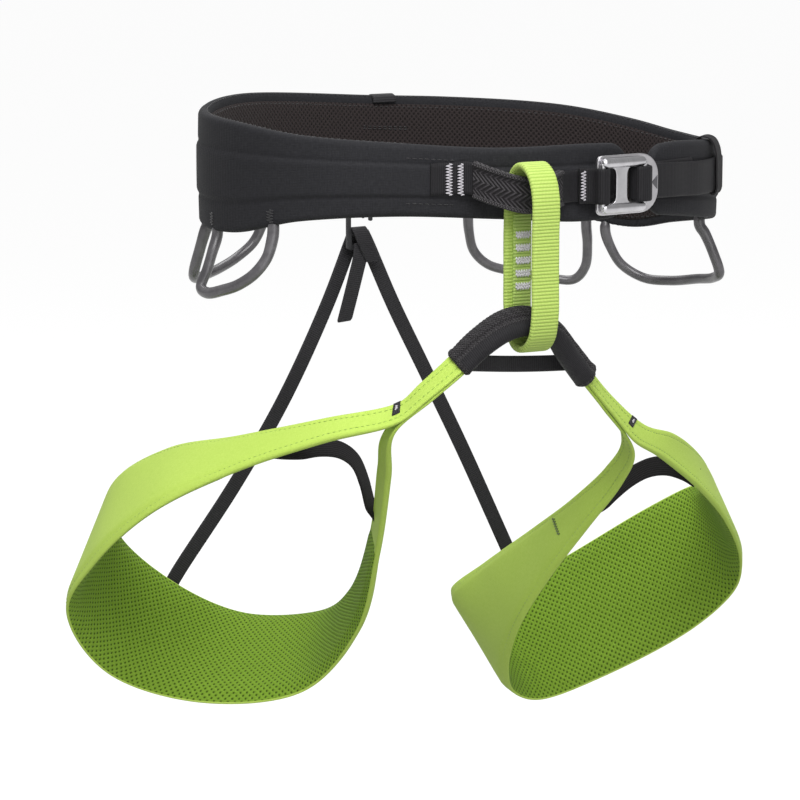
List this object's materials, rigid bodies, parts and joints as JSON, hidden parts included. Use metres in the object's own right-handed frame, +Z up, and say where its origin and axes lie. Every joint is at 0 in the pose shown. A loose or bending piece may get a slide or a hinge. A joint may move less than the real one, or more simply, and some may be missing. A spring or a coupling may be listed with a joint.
{
  "type": "climbing sit harness",
  "caption": "Padded waist belt with a front buckle, tie-in and belay loops, two leg loops on an arched bridge, rear risers and gear loops along the belt.",
  "frame": {"origin": "centre of the waist opening, level with the middle of the waist belt", "axes": "+Z up, -Y the way the wearer faces, +X to the wearer's left"},
  "size_m": [0.4363, 0.2816, 0.3921],
  "materials": {
    "belt_lining": "open mesh",
    "foam": "closed-cell foam",
    "belt_webbing": "woven",
    "belt_shell": "smooth laminated weave",
    "black_webbing": "woven webbing",
    "sleeve": "knurled abrasion sleeve",
    "lime_webbing": "ribbed woven webbing",
    "buckle_metal": "satin anodised",
    "elastic": "knitted elastic",
    "lime_shell": "woven nylon",
    "lime_mesh": "spacer mesh",
    "hook_plastic": "moulded",
    "cord": "braided cord",
    "gear_plastic": "moulded flexible plastic"
  },
  "bodies": {
    "waist_belt": {"belt_mesh_lining": "belt_lining", "belt_foam_core": "foam", "belt_core_webbing": "belt_webbing", "belt_outer_shell": "belt_shell", "tie_in_webbing": "black_webbing", "tie_in_sleeve": "sleeve", "buckle_anchor_webbing": "black_webbing", "adjuster_load_webbing": "black_webbing", "adjuster_tail_webbing": "black_webbing", "haul_loop": "black_webbing", "hook_cord_loop": "cord"},
    "belay_loop": {"belay_loop": "lime_webbing"},
    "bridge": {"bridge_webbing_upper": "lime_webbing", "bridge_webbing_lower": "lime_webbing", "bridge_sleeve": "sleeve", "bridge_cross_strap": "elastic"},
    "leg_loop_right": {"leg_right_outer_shell": "lime_shell", "leg_right_load_fabric": "lime_shell", "leg_right_foam_core": "foam", "leg_right_mesh_lining": "lime_mesh", "leg_right_elastic": "elastic"},
    "leg_loop_left": {"leg_left_outer_shell": "lime_shell", "leg_left_load_fabric": "lime_shell", "leg_left_foam_core": "foam", "leg_left_mesh_lining": "lime_mesh", "leg_left_elastic": "elastic"},
    "riser_hook": {"riser_hook": "hook_plastic", "riser_tail": "elastic"},
    "riser_right": {"riser_right": "elastic"},
    "riser_left": {"riser_left": "elastic"},
    "buckle": {"buckle_frame": "buckle_metal", "buckle_slider": "buckle_metal", "adjuster_turn_webbing": "black_webbing"},
    "tail_keeper": {"tail_keeper": "elastic"},
    "gear_loop_right_front": {"gear_loop_right_front": "gear_plastic"},
    "gear_loop_right_rear": {"gear_loop_right_rear": "gear_plastic"},
    "gear_loop_left_rear": {"gear_loop_left_rear": "gear_plastic"},
    "gear_loop_left_front": {"gear_loop_left_front": "gear_plastic"}
  },
  "joints": [
    {"name": "belay_swing", "type": "hinge", "parent": "waist_belt", "child": "belay_loop", "pos_m": [-0.032, -0.136, 0.008], "axis": [-1, 0, 0], "range_deg": [-3, 20]},
    {"name": "bridge_pitch", "type": "hinge", "parent": "belay_loop", "child": "bridge", "pos_m": [-0.032, -0.1365, -0.068], "axis": [-1, 0, 0], "range_deg": [-20, 3]},
    {"name": "leg_right_swing", "type": "hinge", "parent": "bridge", "child": "leg_loop_right", "pos_m": [-0.104, -0.116, -0.119], "axis": [0.3681, 0.8735, 0.3185], "range_deg": [-8, 15]},
    {"name": "leg_left_swing", "type": "hinge", "parent": "bridge", "child": "leg_loop_left", "pos_m": [0.05, -0.116, -0.141], "axis": [0.2224, -0.8855, -0.408], "range_deg": [-8, 15]},
    {"name": "hook_swing", "type": "hinge", "parent": "waist_belt", "child": "riser_hook", "pos_m": [-0.0075, 0.113, -0.0355], "axis": [-1, 0, 0], "range_deg": [-0.93, 6.2]},
    {"name": "riser_right_swing", "type": "hinge", "parent": "riser_hook", "child": "riser_right", "pos_m": [-0.0075, 0.113, -0.0355], "axis": [0.3681, 0.8735, 0.3185], "range_deg": [-8, 15]},
    {"name": "riser_left_swing", "type": "hinge", "parent": "riser_hook", "child": "riser_left", "pos_m": [-0.0075, 0.113, -0.0355], "axis": [0.2224, -0.8855, -0.408], "range_deg": [-8, 15]},
    {"name": "buckle_tilt", "type": "hinge", "parent": "waist_belt", "child": "buckle", "pos_m": [0.01972, -0.12627, 0.003], "axis": [0, 0, -1], "range_deg": [0, 10]},
    {"name": "keeper_slide", "type": "slide", "parent": "waist_belt", "child": "tail_keeper", "axis": [0.7397, 0.6729, 0], "range_m": [-0.006, 0.006]},
    {"name": "gear_right_front_swing", "type": "hinge", "parent": "waist_belt", "child": "gear_loop_right_front", "pos_m": [-0.1524, -0.02204, -0.025], "axis": [-0.2731, 0.9539, -0.1243], "range_deg": [-5, 35]},
    {"name": "gear_right_rear_swing", "type": "hinge", "parent": "waist_belt", "child": "gear_loop_right_rear", "pos_m": [-0.11146, 0.07452, -0.02725], "axis": [0.7979, 0.6028, 0.0067], "range_deg": [-5, 35]},
    {"name": "gear_left_rear_swing", "type": "hinge", "parent": "waist_belt", "child": "gear_loop_left_rear", "pos_m": [0.09455, 0.08601, -0.044], "axis": [0.8714, -0.4839, -0.0806], "range_deg": [-5, 35]},
    {"name": "gear_left_front_swing", "type": "hinge", "parent": "waist_belt", "child": "gear_loop_left_front", "pos_m": [0.1466, 0.02215, -0.0445], "axis": [0.2837, -0.9484, 0.1414], "range_deg": [-5, 35]}
  ],
  "couplings": [
    {"joint": "bridge_pitch", "follows": "belay_swing", "ratio": -1},
    {"joint": "hook_swing", "follows": "belay_swing", "ratio": 0.305},
    {"joint": "riser_right_swing", "follows": "leg_right_swing", "ratio": 1},
    {"joint": "riser_left_swing", "follows": "leg_left_swing", "ratio": 1}
  ]
}
